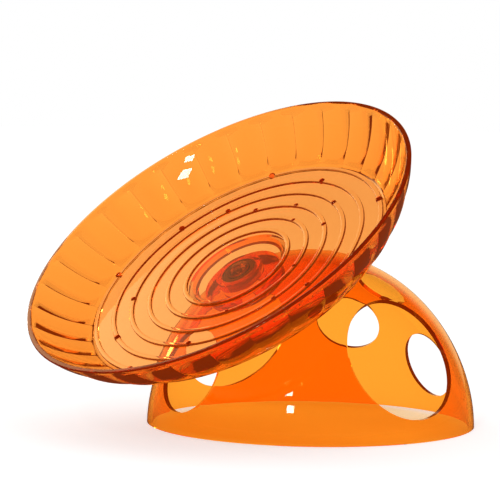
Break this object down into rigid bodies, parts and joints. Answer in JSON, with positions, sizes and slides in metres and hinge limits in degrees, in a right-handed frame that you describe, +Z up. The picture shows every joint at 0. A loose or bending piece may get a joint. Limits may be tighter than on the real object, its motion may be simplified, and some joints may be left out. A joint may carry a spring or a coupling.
{
  "type": "flying saucer wheel",
  "caption": "Clear amber flying saucer running wheel that spins on a tilted ball bearing above a domed hideout with round doors and windows.",
  "frame": {"origin": "middle of the whole part's outline as seen from above, at the floor", "axes": "+Z up; -Y towards the saucer's low side; +X to the right of someone who looks along +Y, from the low side towards the house"},
  "size_m": [0.18, 0.2008, 0.1416],
  "materials": {
    "clear_amber_plastic": "clear, high gloss",
    "bearing_steel": "ground and polished",
    "zinc_plated_steel": "bright zinc plate",
    "cage_nylon": "moulded, satin"
  },
  "bodies": {
    "house": {"hideout_dome": "clear_amber_plastic", "bearing_outer_race": "bearing_steel", "bearing_upper_shield": "zinc_plated_steel", "bearing_lower_shield": "zinc_plated_steel"},
    "saucer": {"running_saucer": "clear_amber_plastic", "bearing_inner_race": "bearing_steel", "hub_washer": "zinc_plated_steel", "hub_screw": "zinc_plated_steel"},
    "cage": {"bearing_ball_cage": "cage_nylon", "bearing_ball_1": "bearing_steel", "bearing_ball_2": "bearing_steel", "bearing_ball_3": "bearing_steel", "bearing_ball_4": "bearing_steel", "bearing_ball_5": "bearing_steel", "bearing_ball_6": "bearing_steel", "bearing_ball_7": "bearing_steel", "bearing_ball_8": "bearing_steel", "bearing_ball_9": "bearing_steel"}
  },
  "joints": [
    {"name": "saucer_spin", "type": "hinge", "parent": "house", "child": "saucer", "pos_m": [0, -0.01658, 0.07019], "axis": [0, -0.6115, 0.7912], "continuous": true},
    {"name": "cage_spin", "type": "hinge", "parent": "house", "child": "cage", "pos_m": [0, -0.01658, 0.07019], "axis": [0, -0.6115, 0.7912], "continuous": true}
  ],
  "couplings": [
    {"joint": "cage_spin", "follows": "saucer_spin", "ratio": 0.40833}
  ]
}
